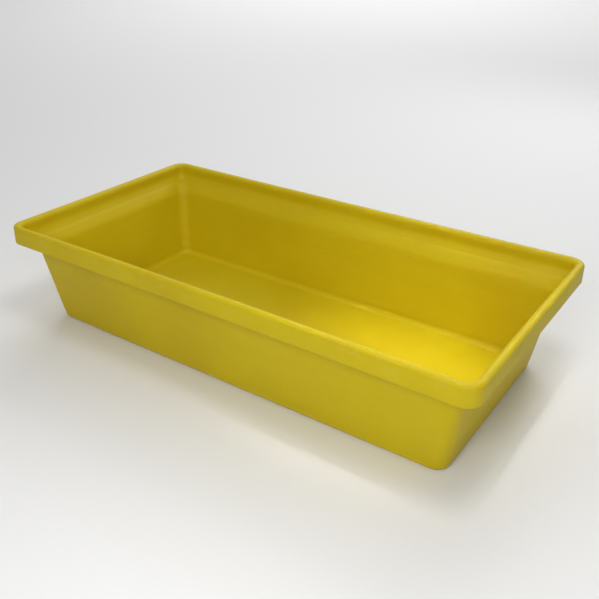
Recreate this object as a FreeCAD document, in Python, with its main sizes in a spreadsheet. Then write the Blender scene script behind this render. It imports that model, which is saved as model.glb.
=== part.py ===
import FreeCAD, Part
import math
import os
import Sketcher

# Spill tray: a shallow rectangular sump with drafted walls and a folded-down rim.
# Millimetres, +Z up, +X along the tray, origin at the middle of the underside.
# The sump basin and the rim meet on one flat ring at the level of the rim's lower edge.

# Driving dimensions, in millimetres.
DIMENSIONS = {
    "tray_length": 800,
    "tray_width": 410,
    "tray_height": 170,
    "skin": 5,
    # rim: every inset is taken from the outer face of the rim to the outside of the skin
    "rim_top_width": 13,
    "rim_corner_radius": 24,
    "rim_edge_radius": 4,
    "lip_depth": 29,
    "mouth_corner_radius": 12,
    "mouth_edge_radius": 7,
    # shoulder: where the wall leans out to become the rim's inner leg
    "shoulder_head_drop": 18,
    "shoulder_head_lean": 2,
    "shoulder_mid_inset": 14,
    "shoulder_mid_corner": 19,
    "shoulder_foot_drop": 48,
    # walls and floor
    "wall_top_inset": 27,
    "wall_corner_radius": 22,
    "base_inset": 47,
    "base_corner_radius": 20,
    "base_edge_radius": 8,
    "floor_edge_radius": 10,
}

# The sketches are drawn at this size first, and their constraints then set the true one.
DRAWN_HALF_LENGTH, DRAWN_HALF_WIDTH, DRAWN_CORNER = 100.0, 50.0, 10.0
# How near a face or loop must lie to the level or reach that is looked for.
SAME_PLACE = 0.01

WALL_TOP = "dims.tray_height - dims.lip_depth"
SHOULDER_FOOT = "dims.tray_height - dims.shoulder_foot_drop"


def make_sheet(doc):
    """The spreadsheet of driving dimensions, one aliased cell to a row."""
    sheet = doc.addObject("Spreadsheet::Sheet", "dims")
    for row, (alias, value) in enumerate(DIMENSIONS.items(), start=1):
        sheet.set(f"A{row}", alias)
        sheet.set(f"B{row}", str(value))
        sheet.setAlias(f"B{row}", alias)
    doc.recompute()
    return sheet


def outline_at(sketch, inset, radius, level):
    """A rounded rectangle, inset from the tray's outer length and width, drawn at a level."""
    corner = FreeCAD.Vector
    half_x, half_y, r = DRAWN_HALF_LENGTH, DRAWN_HALF_WIDTH, DRAWN_CORNER
    right, top = half_x - r, half_y - r
    points = [
        (-right, -half_y), (right, -half_y), (half_x, -top), (half_x, top),
        (right, half_y), (-right, half_y), (-half_x, top), (-half_x, -top),
    ]
    centres = [(right, -top), (right, top), (-right, top), (-right, -top)]
    quarter = math.pi / 2
    for side in range(4):
        start, end = points[2 * side], points[2 * side + 1]
        sketch.addGeometry(Part.LineSegment(corner(*start, 0), corner(*end, 0)), False)
        circle = Part.Circle(corner(*centres[side], 0), corner(0, 0, 1), r)
        begin = (side - 1) * quarter
        sketch.addGeometry(Part.ArcOfCircle(circle, begin, begin + quarter), False)
    for side in range(4):
        line, arc, following = 2 * side, 2 * side + 1, (2 * side + 2) % 8
        sketch.addConstraint(Sketcher.Constraint("Tangent", line, 2, arc, 1))
        sketch.addConstraint(Sketcher.Constraint("Tangent", arc, 2, following, 1))
        sketch.addConstraint(Sketcher.Constraint("Vertical" if side % 2 else "Horizontal", line))
        if side:
            sketch.addConstraint(Sketcher.Constraint("Equal", 1, arc))
    sizes = {
        "front": ("DistanceY", (0, 1, -1, 1), half_y, f"dims.tray_width / 2 - ({inset})"),
        "right": ("DistanceX", (-1, 1, 2, 1), half_x, f"dims.tray_length / 2 - ({inset})"),
        "back": ("DistanceY", (-1, 1, 4, 1), half_y, f"dims.tray_width / 2 - ({inset})"),
        "left": ("DistanceX", (6, 1, -1, 1), half_x, f"dims.tray_length / 2 - ({inset})"),
        "corner": ("Radius", (1,), r, radius),
    }
    for name, (kind, where, value, rule) in sizes.items():
        index = sketch.addConstraint(Sketcher.Constraint(kind, *where, value))
        sketch.renameConstraint(index, name)
        sketch.setExpression(f"Constraints.{name}", rule)
    sketch.setExpression(".AttachmentOffset.Base.z", level)
    return sketch


def body_plane(body):
    """The body's own XY plane."""
    return next(f for f in body.Origin.OriginFeatures if f.Role == "XY_Plane")


def body_outline(body, name, inset, radius, level):
    """An outline sketch inside a body."""
    sketch = body.newObject("Sketcher::SketchObject", name)
    sketch.AttachmentSupport = (body_plane(body), [""])
    sketch.MapMode = "FlatFace"
    return outline_at(sketch, inset, radius, level)


def body_loft(body, kind, name, sketches):
    """A ruled loft through outline sketches: AdditiveLoft or SubtractiveLoft."""
    loft = body.newObject(f"PartDesign::{kind}", name)
    loft.Profile = sketches[0]
    loft.Sections = sketches[1:]
    loft.Ruled = True
    body.Document.recompute()
    for sketch in sketches:
        sketch.Visibility = False
    return loft


def ring_edges(shape, level, reach):
    """Names of the edges round a flat face at a level, on its loop that reaches out to x = reach."""
    found = []
    for face in shape.Faces:
        box = face.BoundBox
        if abs(box.ZMin - level) > SAME_PLACE or abs(box.ZMax - level) > SAME_PLACE:
            continue
        for loop in face.Wires:
            if abs(loop.BoundBox.XMax - reach) < SAME_PLACE:
                found += loop.Edges
    return [
        f"Edge{number}"
        for number, edge in enumerate(shape.Edges, start=1)
        if any(edge.isSame(other) for other in found)
    ]


def fillet_ring(body, name, base, level, reach, radius):
    """A fillet along one loop of a flat face of a feature."""
    edges = ring_edges(base.Shape, level, reach)
    if not edges:
        raise RuntimeError(f"{name}: no loop at z = {level}, x = {reach}")
    fillet = body.newObject("PartDesign::Fillet", name)
    fillet.Base = (base, edges)
    fillet.setExpression("Radius", radius)
    body.Document.recompute()
    return fillet


def make_basin(doc, sheet):
    """The sump: a flat floor and four drafted walls that lean out at their heads to meet the rim."""
    body = doc.addObject("PartDesign::Body", "sump_basin")
    body.Label = "sump_basin"
    outer = [
        body_outline(body, "outer_foot", "dims.base_inset", "dims.base_corner_radius", "0"),
        body_outline(
            body, "outer_shoulder", "dims.wall_top_inset", "dims.wall_corner_radius", SHOULDER_FOOT
        ),
        body_outline(
            body, "outer_top", "dims.shoulder_mid_inset", "dims.shoulder_mid_corner", WALL_TOP
        ),
    ]
    block = body_loft(body, "AdditiveLoft", "outer_walls", outer)
    slope = f"(dims.base_inset - dims.wall_top_inset) / ({SHOULDER_FOOT})"
    inner = [
        body_outline(
            body,
            "inner_floor",
            f"dims.base_inset - dims.skin * {slope} + dims.skin",
            "dims.base_corner_radius - dims.skin",
            "dims.skin",
        ),
        body_outline(
            body,
            "inner_shoulder",
            "dims.wall_top_inset + dims.skin",
            "dims.wall_corner_radius - dims.skin",
            SHOULDER_FOOT,
        ),
        body_outline(
            body,
            "inner_top",
            "dims.shoulder_mid_inset + dims.skin",
            "dims.shoulder_mid_corner - dims.skin",
            WALL_TOP,
        ),
    ]
    hollow = body_loft(body, "SubtractiveLoft", "hollow", inner)
    if not 0 < hollow.Shape.Volume < block.Shape.Volume / 2:
        raise RuntimeError("the hollow wasn't cut from the basin")
    shoulder_level = sheet.tray_height - sheet.shoulder_foot_drop
    foot_reach = sheet.tray_length / 2 - sheet.base_inset
    draft = (sheet.base_inset - sheet.wall_top_inset) / shoulder_level
    floor_reach = foot_reach + sheet.skin * draft - sheet.skin
    floor_edge = fillet_ring(
        body, "floor_edge", hollow, sheet.skin, floor_reach, "dims.floor_edge_radius"
    )
    fillet_ring(body, "foot_edge", floor_edge, 0, foot_reach, "dims.base_edge_radius")
    return body


def make_rim(doc, sheet):
    """The rim: an inverted U with an outer skirt, a narrow top and an inner leg onto the walls."""
    body = doc.addObject("PartDesign::Body", "folded_rim")
    body.Label = "folded_rim"
    top = "dims.tray_height"
    bend_level = "dims.tray_height - dims.shoulder_head_drop"
    mouth = "dims.rim_top_width"
    bend = "dims.rim_top_width + dims.shoulder_head_lean"
    skirt_radius = "dims.rim_corner_radius - dims.skin"
    leg_radius = "dims.mouth_corner_radius + dims.skin"

    outline = body_outline(body, "skirt_outline", "0", "dims.rim_corner_radius", WALL_TOP)
    block = body.newObject("PartDesign::Pad", "rim_block")
    block.Profile = outline
    block.setExpression("Length", "dims.lip_depth")
    doc.recompute()

    underside = body_loft(
        body,
        "SubtractiveLoft",
        "skirt_inside",
        [
            body_outline(body, "skirt_mouth", "dims.skin", skirt_radius, WALL_TOP),
            body_outline(body, "skirt_ceiling", "dims.skin", skirt_radius, f"{top} - dims.skin"),
        ],
    )
    leg = body_loft(
        body,
        "AdditiveLoft",
        "leg_outside",
        [
            body_outline(
                body, "leg_foot", "dims.shoulder_mid_inset", "dims.shoulder_mid_corner", WALL_TOP
            ),
            body_outline(body, "leg_bend", f"{bend} - dims.skin", leg_radius, bend_level),
            body_outline(body, "leg_head", f"{mouth} - dims.skin", leg_radius, top),
        ],
    )
    well = body_loft(
        body,
        "SubtractiveLoft",
        "well",
        [
            body_outline(
                body,
                "well_foot",
                "dims.shoulder_mid_inset + dims.skin",
                "dims.shoulder_mid_corner - dims.skin",
                WALL_TOP,
            ),
            body_outline(body, "well_bend", bend, "dims.mouth_corner_radius", bend_level),
            body_outline(body, "well_mouth", mouth, "dims.mouth_corner_radius", top),
        ],
    )
    if not block.Shape.Volume > leg.Shape.Volume > underside.Shape.Volume > well.Shape.Volume:
        raise RuntimeError("a step of the rim changed nothing")
    half = sheet.tray_length / 2
    inner = fillet_ring(
        body,
        "inner_edge",
        well,
        sheet.tray_height,
        half - sheet.rim_top_width,
        "dims.mouth_edge_radius",
    )
    fillet_ring(body, "outer_edge", inner, sheet.tray_height, half, "dims.rim_edge_radius")
    return body


def main():
    doc = FreeCAD.newDocument("spill_tray")
    sheet = make_sheet(doc)
    parts = [make_basin(doc, sheet), make_rim(doc, sheet)]
    doc.recompute()
    for item in doc.Objects:
        if "Invalid" in item.State or "Error" in item.State:
            raise RuntimeError(f"{item.Label}: {item.State}")
    os.makedirs("parts", exist_ok=True)
    for part in parts:
        shape = part.Shape
        if shape.isNull() or not shape.isValid() or len(shape.Solids) != 1:
            raise RuntimeError(f"{part.Label}: bad shape")
        shape.exportStep(f"parts/{part.Label}.step")
        box = shape.optimalBoundingBox()
        print(
            f"{part.Label}: {box.XLength:.1f} x {box.YLength:.1f} x {box.ZLength:.1f} mm, "
            f"{shape.Volume / 1000:.0f} cm3"
        )


main()
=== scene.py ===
"""Spill tray in moulded yellow polyethylene: a sump with drafted walls under a folded-down rim."""

import math
from typing import NamedTuple

import bpy
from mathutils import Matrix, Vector


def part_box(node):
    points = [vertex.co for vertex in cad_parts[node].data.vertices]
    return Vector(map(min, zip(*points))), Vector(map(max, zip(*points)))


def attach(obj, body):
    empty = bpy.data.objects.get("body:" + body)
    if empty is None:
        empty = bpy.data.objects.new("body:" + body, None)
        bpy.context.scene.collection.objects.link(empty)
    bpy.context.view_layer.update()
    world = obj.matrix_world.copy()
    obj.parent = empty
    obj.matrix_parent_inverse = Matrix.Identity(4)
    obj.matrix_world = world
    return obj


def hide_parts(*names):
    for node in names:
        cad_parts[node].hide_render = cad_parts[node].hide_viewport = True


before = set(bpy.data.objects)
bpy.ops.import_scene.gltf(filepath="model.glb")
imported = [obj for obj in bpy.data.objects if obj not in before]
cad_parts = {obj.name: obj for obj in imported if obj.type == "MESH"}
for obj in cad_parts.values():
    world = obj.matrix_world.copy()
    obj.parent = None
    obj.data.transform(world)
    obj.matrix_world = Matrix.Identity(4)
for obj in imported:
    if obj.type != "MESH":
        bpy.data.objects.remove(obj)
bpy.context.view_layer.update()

# ---------------------------------------------------------------- sizes, in metres
# The outer sizes come from the frame, the rest are the moulding's own.

basin_high = Vector(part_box("sump_basin")[1])
rim_low, rim_high = (Vector(corner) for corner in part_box("folded_rim"))
LENGTH = rim_high.x - rim_low.x
WIDTH = rim_high.y - rim_low.y
HEIGHT = rim_high.z
WALL_TOP = basin_high.z
SKIN = 0.005
# Width of the rim's top, from its outer face to the mouth.
RIM_TOP = 0.013
# From the rim's outer face in to the outside of the walls, at the underside.
FOOT_INSET = 0.047
# How far a wall leans out for each metre of its height.
LEAN = 0.164
WALL_TILT = math.atan(LEAN)

# Corner radii, seen from above: the rim's outer face, the outside of its inner leg, and the
# outside of the walls at their top and foot.
RIM_CORNER = 0.024
LEG_CORNER = 0.017
WALL_CORNER = 0.022
FOOT_CORNER = 0.020

# Radii of the rounded edges: the rim's top outside and inside, the tray's foot, the hollow edge
# of the floor, and the skirt's lower edges.
OUTER_EDGE = 0.0045
INNER_EDGE = 0.007
FOOT_EDGE = 0.008
FLOOR_EDGE = 0.010
SKIRT_EDGE = 0.0012

# Where the shoulder begins and ends, down from the top.
SHOULDER_START = 0.015
SHOULDER_END = 0.049

# How rubbed each edge is, from 0 to 1.
OUTER_WEAR = 1.0
INNER_WEAR = 0.7
FOOT_WEAR = 0.8
SKIRT_WEAR = 0.6

# Inputs of the shell's tree. The bows are how far the walls draw in at their middles, and the
# ripple is how far they stray from even.
SHELL_SIZES = {
    "Length": LENGTH,
    "Width": WIDTH,
    "Height": HEIGHT,
    "Front Bow": 0.0036,
    "Back Bow": 0.0022,
    "End Bow": 0.0008,
    "Ripple": 0.0009,
    "Ripple Scale": 6.0,
    "Seed": 4.0,
}
SHELL_COUNTS = {"Corner Steps": 18, "Side Steps": 30}
# The bows and the ripple grow with this power of the height.
RISE_POWER = 1.6
# Vertices closer than this are merged, which closes the floors along the tray's middle line.
MERGE_DISTANCE = 1e-5
# Edges that turn by more than this many degrees are shaded sharp.
SHARP_ANGLE = 55

YELLOW = (0.60, 0.465, 0.003, 1)
YELLOW_DEEP = (0.56, 0.415, 0.002, 1)
YELLOW_PALE = (0.64, 0.51, 0.007, 1)
SCUFFED = (0.74, 0.63, 0.12, 1)
# How much a full scuff and full wear add to the roughness, and their share of the scuffed colour.
SCUFF_STRENGTH = 0.14
WEAR_STRENGTH = 0.12

# The stage: the floor reaches this far each way.
FLOOR_COLOUR = (0.86, 0.86, 0.86, 1)
FLOOR_ROUGHNESS = 0.8
FLOOR_REACH = 20.0
WORLD_STRENGTH = 0.3

# The viewer's place, the direction of its view (degrees), its roll (radians) and its lens (millimetres).
VIEW_PLACE = (0.6252, -0.8830, 0.6449)
VIEW_AZIMUTH = 35.09
VIEW_ELEVATION = 25.48
VIEW_ROLL = 0.0034
LENS = 46.36
SENSOR_WIDTH = 36.0
LENS_SHIFT = (0.0213, -0.0565)


# ---------------------------------------------------------------- section of the moulding


class Station(NamedTuple):
    """One ring of the surface: a rounded rectangle at a height.

    Its inset is taken from the rim's outer face, and corner is the radius of its corners.
    """

    inset: float
    corner: float
    height: float
    wear: float = 0.0


def outer_wall(height):
    """The outside of a wall: straight and leaning, then easing over a shoulder into the rim's leg."""
    ease = (HEIGHT - height - SHOULDER_START) / (SHOULDER_END - SHOULDER_START)
    ease = min(max(ease, 0), 1)
    ease = ease * ease * (3 - 2 * ease)
    leg = RIM_TOP - SKIN
    straight = FOOT_INSET - LEAN * height
    straight_corner = FOOT_CORNER + (WALL_CORNER - FOOT_CORNER) * height / WALL_TOP
    return Station(
        leg + (straight - leg) * ease,
        LEG_CORNER + (straight_corner - LEG_CORNER) * ease,
        height,
    )


def inner_wall(height):
    """The inside of a wall, one skin in from its outside."""
    outside = outer_wall(height)
    return Station(outside.inset + SKIN, outside.corner - SKIN, height)


def wall_run(wall, start, end, steps):
    """Stations on a wall from one height to another, both included."""
    return [wall(start + (end - start) * step / steps) for step in range(steps + 1)]


def between(first, last, steps):
    """Stations on the straight run after one station and before another."""
    return [
        Station(*(a + (b - a) * step / steps for a, b in zip(first, last)))
        for step in range(1, steps)
    ]


def arc(start, end, centre, radius, corner, wear, steps):
    """Stations round an arc, from one angle to another.

    Angles are in degrees from the inward direction. The centre is an inset and a height, and
    corner is the radius that a ring through the centre would have.
    """
    centre_inset, centre_height = centre
    stations = []
    for step in range(steps + 1):
        angle = math.radians(start + (end - start) * step / steps)
        inward = radius * math.cos(angle)
        height = centre_height + radius * math.sin(angle)
        stations.append(Station(centre_inset + inward, corner - inward, height, wear))
    return stations


def edge_reach(radius):
    """How far a rounded edge runs along the flat, away from a leaning wall."""
    return radius * math.tan((math.pi / 2 - WALL_TILT) / 2)


def foot_arc():
    """The rounded edge between the underside and the outside of the walls."""
    wall = outer_wall(0)
    reach = edge_reach(FOOT_EDGE)
    return arc(
        270, 180 - math.degrees(WALL_TILT), (wall.inset + reach, FOOT_EDGE),
        FOOT_EDGE, wall.corner - reach, FOOT_WEAR, steps=8,
    )


def floor_arc():
    """The hollow edge between the inside of the walls and the floor."""
    wall = inner_wall(SKIN)
    reach = edge_reach(FLOOR_EDGE)
    return arc(
        180 - math.degrees(WALL_TILT), 270, (wall.inset + reach, SKIN + FLOOR_EDGE),
        FLOOR_EDGE, wall.corner - reach, wear=0.0, steps=9,
    )


def floor_run(edge, steps=7):
    """Flat rings from the edge of a floor in to the tray's middle line."""
    middle = WIDTH / 2
    rings = []
    for step in range(1, steps + 1):
        share = step / steps
        inset = edge.inset + (middle - edge.inset) * share
        rings.append(Station(inset, edge.corner * (1 - share), edge.height))
    return rings


def basin_section():
    """The sump, from the middle of the underside, up the outside, over and down to the floor's middle."""
    foot = foot_arc()
    hollow = floor_arc()
    underside = list(reversed(floor_run(foot[0])))
    outside = wall_run(outer_wall, foot[-1].height, WALL_TOP, steps=20)[1:]
    inside = wall_run(inner_wall, WALL_TOP, hollow[0].height, steps=24)[:-1]
    return underside + foot + outside + inside + hollow + floor_run(hollow[-1])


def rim_section():
    """The rim, once round its inverted U and back to where it began."""
    skirt_foot = WALL_TOP + SKIRT_EDGE
    ceiling = HEIGHT - SKIN
    mouth = inner_wall(HEIGHT)
    outer_skirt = arc(
        270, 180, (SKIRT_EDGE, skirt_foot), SKIRT_EDGE, RIM_CORNER - SKIRT_EDGE, SKIRT_WEAR, steps=3
    )
    outer_top = arc(
        180, 90, (OUTER_EDGE, HEIGHT - OUTER_EDGE), OUTER_EDGE, RIM_CORNER - OUTER_EDGE,
        OUTER_WEAR, steps=7,
    )
    inner_top = arc(
        90, 0, (RIM_TOP - INNER_EDGE, HEIGHT - INNER_EDGE), INNER_EDGE, mouth.corner + INNER_EDGE,
        INNER_WEAR, steps=7,
    )
    inside = wall_run(inner_wall, HEIGHT - INNER_EDGE, WALL_TOP, steps=16)[1:]
    leg = wall_run(outer_wall, WALL_TOP, ceiling, steps=8)
    skirt_inside = [Station(SKIN, RIM_CORNER - SKIN, height) for height in (ceiling, skirt_foot)]
    inner_skirt = arc(
        0, -90, (SKIN - SKIRT_EDGE, skirt_foot), SKIRT_EDGE, RIM_CORNER - SKIN + SKIRT_EDGE,
        SKIRT_WEAR, steps=3,
    )[1:]
    outer_run = between(outer_skirt[-1], outer_top[0], steps=5)
    top_run = between(outer_top[-1], inner_top[0], steps=3)
    loop = outer_skirt + outer_run + outer_top + top_run + inner_top
    loop += inside + leg + skirt_inside + inner_skirt
    return loop + [loop[0]]


# ---------------------------------------------------------------- nodes


class Nodes:
    """Adds nodes to a tree, and fills their inputs with values or with other nodes' outputs."""

    def __init__(self, tree):
        self.tree = tree

    def fill(self, socket, value):
        if isinstance(value, bpy.types.NodeSocket):
            self.tree.links.new(value, socket)
        else:
            socket.default_value = value

    def node(self, kind, values=None, **settings):
        node = self.tree.nodes.new(kind)
        for key, value in settings.items():
            setattr(node, key, value)
        for key, value in (values or {}).items():
            self.fill(node.inputs[key], value)
        return node

    def output(self, kind, values=None, **settings):
        """The first output of a new node."""
        return self.node(kind, values, **settings).outputs[0]

    def math(self, operation, *values):
        return self.output("ShaderNodeMath", dict(enumerate(values)), operation=operation)

    def product(self, first, *others):
        for other in others:
            first = self.math("MULTIPLY", first, other)
        return first


# ---------------------------------------------------------------- the shell's tree


class ShellTree(Nodes):
    """A geometry node tree with named inputs."""

    def __init__(self, name):
        super().__init__(bpy.data.node_groups.new(name, "GeometryNodeTree"))
        self.sockets = {}

    def input(self, name, kind, default=None):
        socket = self.tree.interface.new_socket(
            name, in_out="INPUT", socket_type="NodeSocket" + kind
        )
        if default is not None:
            socket.default_value = default
        self.sockets[name] = socket.identifier

    def begin(self):
        """Adds the group's own nodes, once all its inputs are there."""
        self.tree.interface.new_socket(
            "Geometry", in_out="OUTPUT", socket_type="NodeSocketGeometry"
        )
        self.entry = self.tree.nodes.new("NodeGroupInput")
        self.exit = self.tree.nodes.new("NodeGroupOutput")

    def given(self, name):
        return self.entry.outputs[name]

    def combine(self, x, y, z):
        return self.output("ShaderNodeCombineXYZ", {0: x, 1: y, 2: z})


def ring_point(tree, column, station):
    """Where a vertex lies: its column runs round the ring, its station gives the ring's size."""
    m = tree.math
    corner_steps, side_steps = tree.given("Corner Steps"), tree.given("Side Steps")
    quarter_steps = m("ADD", corner_steps, side_steps)
    quarter = m("FLOOR", m("DIVIDE", m("ADD", column, 0.5), quarter_steps))
    step = m("SUBTRACT", column, m("MULTIPLY", quarter, quarter_steps))
    turn = m("MINIMUM", m("DIVIDE", step, corner_steps), 1.0)
    slide = m("MAXIMUM", m("DIVIDE", m("SUBTRACT", step, corner_steps), side_steps), 0.0)
    angle = m("MULTIPLY", m("ADD", quarter, turn), math.pi / 2)

    inset, corner, height = tree.node("ShaderNodeSeparateXYZ", {0: station}).outputs

    def reach(side):
        """From the tray's middle to the centre of a corner."""
        half = m("DIVIDE", tree.given(side), 2.0)
        return m("SUBTRACT", m("SUBTRACT", half, inset), corner)

    def centre(which, distance, function):
        """One coordinate of the centre of a corner, numbered from the back right one."""
        diagonal = m("MULTIPLY", m("ADD", which, 0.5), math.pi / 2)
        return m("MULTIPLY", m("SIGN", m(function, diagonal)), distance)

    following = m("ADD", quarter, 1.0)

    def along(distance, function):
        """One coordinate, round a corner and then along the side to the next."""
        first = centre(quarter, distance, function)
        last = centre(following, distance, function)
        middle = m("ADD", first, m("MULTIPLY", m("SUBTRACT", last, first), slide))
        return m("ADD", middle, m("MULTIPLY", corner, m(function, angle)))

    return along(reach("Length"), "COSINE"), along(reach("Width"), "SINE"), height, angle


def cooling_pull(tree, x, y, rise):
    """How far cooling draws a point in: most at the middle of a wall, and at the rim."""
    m, product = tree.math, tree.product
    x_share = m("DIVIDE", x, m("DIVIDE", tree.given("Length"), 2.0))
    y_share = m("DIVIDE", y, m("DIVIDE", tree.given("Width"), 2.0))
    x_fall = m("SUBTRACT", 1.0, product(x_share, x_share))
    y_fall = m("SUBTRACT", 1.0, product(y_share, y_share))
    is_back = m("GREATER_THAN", y, 0.0)
    is_front = m("SUBTRACT", 1.0, is_back)
    bow = m(
        "SUBTRACT",
        product(tree.given("Front Bow"), is_front),
        product(tree.given("Back Bow"), is_back),
    )
    pull_x = product(tree.given("End Bow"), y_fall, product(x_share, -1.0), rise)
    pull_y = product(bow, x_fall, m("ABSOLUTE", y_share), rise)
    return pull_x, pull_y


def ripple(tree, x, y, height, angle, rise):
    """A faint unevenness of the wall, along the ring's own outward direction."""
    m, product = tree.math, tree.product
    noise = tree.output(
        "ShaderNodeTexNoise",
        {
            "Vector": tree.combine(x, y, height),
            "W": tree.given("Seed"),
            "Scale": tree.given("Ripple Scale"),
            "Detail": 1.0,
        },
        noise_dimensions="4D",
    )
    swell = product(m("SUBTRACT", noise, 0.5), product(tree.given("Ripple"), rise))
    return product(swell, m("COSINE", angle)), product(swell, m("SINE", angle))


def shell_tree():
    """The rule of the moulding: a section carried round a rounded rectangle that changes with height."""
    tree = ShellTree("moulded_shell")
    tree.input("Geometry", "Geometry")
    for name, size in SHELL_SIZES.items():
        tree.input(name, "Float", size)
    for name, count in SHELL_COUNTS.items():
        tree.input(name, "Int", count)
    tree.input("Stations", "Int", 2)
    tree.input("Material", "Material")
    tree.begin()
    m = tree.math

    quarter_steps = m("ADD", tree.given("Corner Steps"), tree.given("Side Steps"))
    columns = m("ADD", m("MULTIPLY", quarter_steps, 4.0), 1.0)
    grid = tree.output(
        "GeometryNodeMeshGrid", {"Vertices X": columns, "Vertices Y": tree.given("Stations")}
    )

    # The grid's vertices are numbered up each column in turn. Half a step keeps the rounding down safe.
    index = tree.output("GeometryNodeInputIndex")
    column = m("FLOOR", m("DIVIDE", m("ADD", index, 0.5), tree.given("Stations")))
    row = m("SUBTRACT", index, m("MULTIPLY", column, tree.given("Stations")))

    def of_station(value, kind):
        """What the section holds at a vertex's own row."""
        return tree.output(
            "GeometryNodeSampleIndex",
            {"Geometry": tree.given("Geometry"), "Index": row, "Value": value},
            data_type=kind,
        )

    station = of_station(tree.output("GeometryNodeInputPosition"), "FLOAT_VECTOR")
    section_wear = tree.output(
        "GeometryNodeInputNamedAttribute", {"Name": "wear"}, data_type="FLOAT"
    )
    wear = of_station(section_wear, "FLOAT")

    x, y, height, angle = ring_point(tree, column, station)
    height_share = m("MAXIMUM", m("DIVIDE", height, tree.given("Height")), 0.0)
    rise = m("POWER", height_share, RISE_POWER)
    pull_x, pull_y = cooling_pull(tree, x, y, rise)
    ripple_x, ripple_y = ripple(tree, x, y, height, angle, rise)
    place = tree.combine(
        m("ADD", m("ADD", x, pull_x), ripple_x),
        m("ADD", m("ADD", y, pull_y), ripple_y),
        height,
    )

    shape = tree.output(
        "GeometryNodeStoreNamedAttribute",
        {"Geometry": grid, "Name": "wear", "Value": wear},
        data_type="FLOAT",
        domain="POINT",
    )
    for kind, values in (
        ("GeometryNodeSetPosition", {"Position": place}),
        ("GeometryNodeMergeByDistance", {"Distance": MERGE_DISTANCE}),
        ("GeometryNodeSetShadeSmooth", {}),
        ("GeometryNodeRealizeInstances", {}),
        ("GeometryNodeSetMaterial", {"Material": tree.given("Material")}),
    ):
        shape = tree.output(kind, {"Geometry": shape, **values})
    tree.fill(tree.exit.inputs[0], shape)
    return tree


def section_object(name, stations):
    """A line of vertices, one to a station, that the shell's tree reads."""
    mesh = bpy.data.meshes.new(name + "_section")
    points = [(station.inset, station.corner, station.height) for station in stations]
    mesh.from_pydata(points, [(i, i + 1) for i in range(len(points) - 1)], [])
    wear = mesh.attributes.new("wear", "FLOAT", "POINT")
    for value, station in zip(wear.data, stations):
        value.value = station.wear
    piece = bpy.data.objects.new(name, mesh)
    bpy.context.scene.collection.objects.link(piece)
    return piece


def shell(name, tree, stations, material):
    """A closed piece of the moulding, made by the tree and then kept as a plain mesh."""
    piece = section_object(name, stations)
    modifier = piece.modifiers.new("shell", "NODES")
    modifier.node_group = tree.tree
    values = {**SHELL_SIZES, **SHELL_COUNTS, "Stations": len(stations), "Material": material}
    for label, value in values.items():
        modifier[tree.sockets[label]] = value
    bpy.context.view_layer.update()
    evaluated = piece.evaluated_get(bpy.context.evaluated_depsgraph_get())
    mesh = bpy.data.meshes.new_from_object(evaluated)
    piece.modifiers.remove(modifier)
    section = piece.data
    piece.data = mesh
    bpy.data.meshes.remove(section)
    mesh.name = name
    mesh.set_sharp_from_angle(angle=math.radians(SHARP_ANGLE))
    return piece


# ---------------------------------------------------------------- material


class Shading(Nodes):
    """A material's node tree, with the patterns that the plastic is made of."""

    def __init__(self, name):
        self.material = bpy.data.materials.new(name)
        self.material.use_nodes = True
        super().__init__(self.material.node_tree)
        self.shader = self.tree.nodes["Principled BSDF"]

    def noise(self, place, scale=1.0, detail=2.0, roughness=0.5):
        values = {"Vector": place, "Scale": scale, "Detail": detail, "Roughness": roughness}
        return self.node("ShaderNodeTexNoise", values).outputs["Fac"]

    def stretched(self, place, scale):
        """Object coordinates scaled unevenly, for marks that run one way."""
        return self.output("ShaderNodeMapping", {"Vector": place, "Scale": scale})

    def ramp(self, value, low, high, start=0.0, end=1.0):
        """A smooth ramp from start to end while value goes from low to high."""
        values = {"Value": value, "From Min": low, "From Max": high, "To Min": start, "To Max": end}
        return self.output("ShaderNodeMapRange", values, interpolation_type="SMOOTHSTEP")

    def mix(self, share, first, second):
        node = self.node("ShaderNodeMix", data_type="RGBA")
        for name, value in (("Factor", share), ("A", first), ("B", second)):
            self.fill(next(s for s in node.inputs if s.name == name and s.enabled), value)
        return next(s for s in node.outputs if s.enabled)

    def bump(self, height, distance, strength, below=None):
        """Relief from a height, laid over the relief below it."""
        values = {"Height": height, "Distance": distance, "Strength": strength}
        if below is not None:
            values["Normal"] = below
        return self.output("ShaderNodeBump", values)

    def drive(self, socket, value):
        self.tree.links.new(value, self.shader.inputs[socket])


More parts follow.
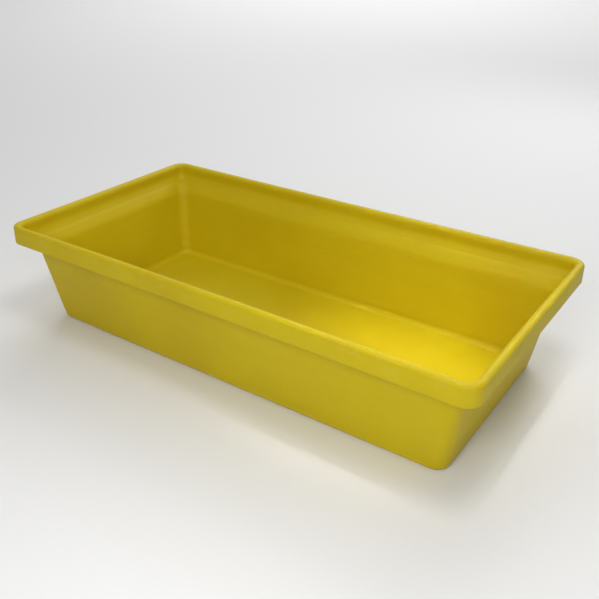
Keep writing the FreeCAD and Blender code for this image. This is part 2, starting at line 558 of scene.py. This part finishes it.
def polyethylene():
    """Self-coloured yellow polyethylene, satin, with a fine moulded grain and light handling marks."""
    paint = Shading("yellow_polyethylene")
    place = paint.node("ShaderNodeTexCoord").outputs["Object"]
    edge = paint.node("ShaderNodeAttribute", attribute_name="wear").outputs["Fac"]

    # Pigment: broad clouds, faint level streaks and fine specks.
    cloud = paint.noise(place, scale=5.0, detail=3.0)
    streak = paint.noise(paint.stretched(place, (9.0, 9.0, 70.0)), detail=3.0)
    speck = paint.noise(place, scale=420.0)
    colour = paint.mix(paint.ramp(cloud, low=0.35, high=0.65), YELLOW_DEEP, YELLOW)
    colour = paint.mix(paint.ramp(streak, low=0.45, high=0.75, end=0.22), colour, YELLOW_PALE)
    colour = paint.mix(paint.ramp(speck, low=0.62, high=0.72, end=0.25), colour, YELLOW_DEEP)

    # Scuffs: fine rub lines along and across the tray, only in patches.
    rub_x = paint.noise(paint.stretched(place, (14.0, 260.0, 260.0)), detail=4.0, roughness=0.6)
    rub_y = paint.noise(paint.stretched(place, (260.0, 14.0, 260.0)), detail=4.0, roughness=0.6)
    lines = paint.math(
        "MAXIMUM",
        paint.ramp(rub_x, low=0.60, high=0.66),
        paint.ramp(rub_y, low=0.61, high=0.67),
    )
    patch = paint.ramp(paint.noise(place, scale=7.0), low=0.5, high=0.68)
    scuff = paint.product(lines, patch)
    faint_scuff = paint.product(scuff, SCUFF_STRENGTH)
    colour = paint.mix(faint_scuff, colour, SCUFFED)

    # Wear: the edges are rubbed in small chips.
    chip = paint.ramp(
        paint.noise(place, scale=55.0, detail=4.0, roughness=0.65), low=0.52, high=0.66
    )
    worn = paint.product(chip, edge)
    faint_wear = paint.product(worn, WEAR_STRENGTH)
    colour = paint.mix(faint_wear, colour, SCUFFED)
    paint.drive("Base Color", colour)

    satin = paint.noise(place, scale=11.0, detail=4.0)
    rough = paint.ramp(satin, low=0.3, high=0.7, start=0.50, end=0.60)
    rough = paint.math("ADD", paint.math("ADD", rough, faint_scuff), faint_wear)
    paint.drive("Roughness", rough)

    # Relief: moulded grain, a slow sag of the surface, and the scuffs pressed in.
    grain = paint.noise(place, scale=260.0, detail=3.0)
    sag = paint.noise(place, scale=16.0, detail=1.0)
    relief = paint.bump(grain, distance=0.0004, strength=0.22)
    relief = paint.bump(sag, distance=0.0012, strength=0.30, below=relief)
    unmarked = paint.math("SUBTRACT", 1.0, scuff)
    relief = paint.bump(unmarked, distance=0.0003, strength=0.30, below=relief)
    paint.drive("Normal", relief)

    paint.shader.inputs["IOR"].default_value = 1.5
    paint.shader.inputs["Specular IOR Level"].default_value = 0.22
    return paint.material


# ---------------------------------------------------------------- stage


def stage_floor():
    """A wide pale floor, level with the tray's underside."""
    r = FLOOR_REACH
    mesh = bpy.data.meshes.new("floor")
    mesh.from_pydata([(-r, -r, 0), (r, -r, 0), (r, r, 0), (-r, r, 0)], [], [(0, 1, 2, 3)])
    floor = bpy.data.objects.new("floor", mesh)
    bpy.context.scene.collection.objects.link(floor)
    material = bpy.data.materials.new("pale_floor")
    material.use_nodes = True
    shader = material.node_tree.nodes["Principled BSDF"]
    shader.inputs["Base Color"].default_value = FLOOR_COLOUR
    shader.inputs["Roughness"].default_value = FLOOR_ROUGHNESS
    mesh.materials.append(material)


def area_light(name, place, target, size, power, spread=180):
    """A soft square light that looks at a target: size in metres, power in watts, spread in degrees."""
    data = bpy.data.lights.new(name, "AREA")
    data.shape = "SQUARE"
    data.size = size
    data.energy = power
    data.spread = math.radians(spread)
    light = bpy.data.objects.new(name, data)
    light.location = place
    light.rotation_euler = (Vector(target) - Vector(place)).to_track_quat("-Z", "Y").to_euler()
    bpy.context.scene.collection.objects.link(light)


def stage_lights():
    """An even surround, soft lights near the tray, and wide high ones that keep the floor pale."""
    world = bpy.data.worlds.new("studio")
    bpy.context.scene.world = world
    world.use_nodes = True
    background = world.node_tree.nodes["Background"]
    background.inputs["Color"].default_value = (1, 1, 1, 1)
    background.inputs["Strength"].default_value = WORLD_STRENGTH
    area_light("main_light", (0.44, -0.84, 0.66), (0.12, 0, 0.05), size=0.3, power=2.7)
    area_light("front_light", (0.3, -0.9, 1.6), (0.1, 0, 0.05), size=1.0, power=1.2)
    area_light("top_light", (0.42, -0.2, 1.6), (0.25, 0, 0), size=0.5, power=5)
    area_light("sump_light", (0.24, 0, 1.5), (0.20, 0, 0), size=0.2, power=0.22, spread=18)
    area_light("back_light", (0.2, 1.8, 1.2), (0, 0, 0.05), size=0.6, power=5)
    area_light("high_light", (-1.2, 2.2, 3.2), (-0.9, 1.9, 0), size=3.0, power=26)
    area_light("far_light", (-2.6, 5.2, 4.0), (-2.6, 5.2, 0), size=4.0, power=160)
    area_light("near_light", (2.6, -5.6, 4.0), (2.6, -5.6, 0), size=4.0, power=90)


def stage_camera():
    """The viewer stands off the tray's front right corner and looks down across it."""
    azimuth, elevation = math.radians(VIEW_AZIMUTH), math.radians(VIEW_ELEVATION)
    forward = Vector((
        -math.sin(azimuth) * math.cos(elevation),
        math.cos(azimuth) * math.cos(elevation),
        -math.sin(elevation),
    ))
    data = bpy.data.cameras.new("camera")
    data.lens = LENS
    data.sensor_width = SENSOR_WIDTH
    data.shift_x, data.shift_y = LENS_SHIFT
    camera = bpy.data.objects.new("camera", data)
    camera.location = VIEW_PLACE
    camera.rotation_euler = forward.to_track_quat("-Z", "Y").to_euler()
    camera.rotation_euler.rotate_axis("Z", VIEW_ROLL)
    bpy.context.scene.collection.objects.link(camera)
    bpy.context.scene.camera = camera


# ---------------------------------------------------------------- the tray

plastic = polyethylene()
tree = shell_tree()
basin = shell("sump_basin_moulding", tree, basin_section(), plastic)
rim = shell("folded_rim_moulding", tree, rim_section(), plastic)
for piece, node in ((basin, "sump_basin"), (rim, "folded_rim")):
    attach(piece, "root")
    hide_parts(node)

stage_floor()
stage_lights()
stage_camera()
bpy.context.scene.view_settings.view_transform = "Standard"
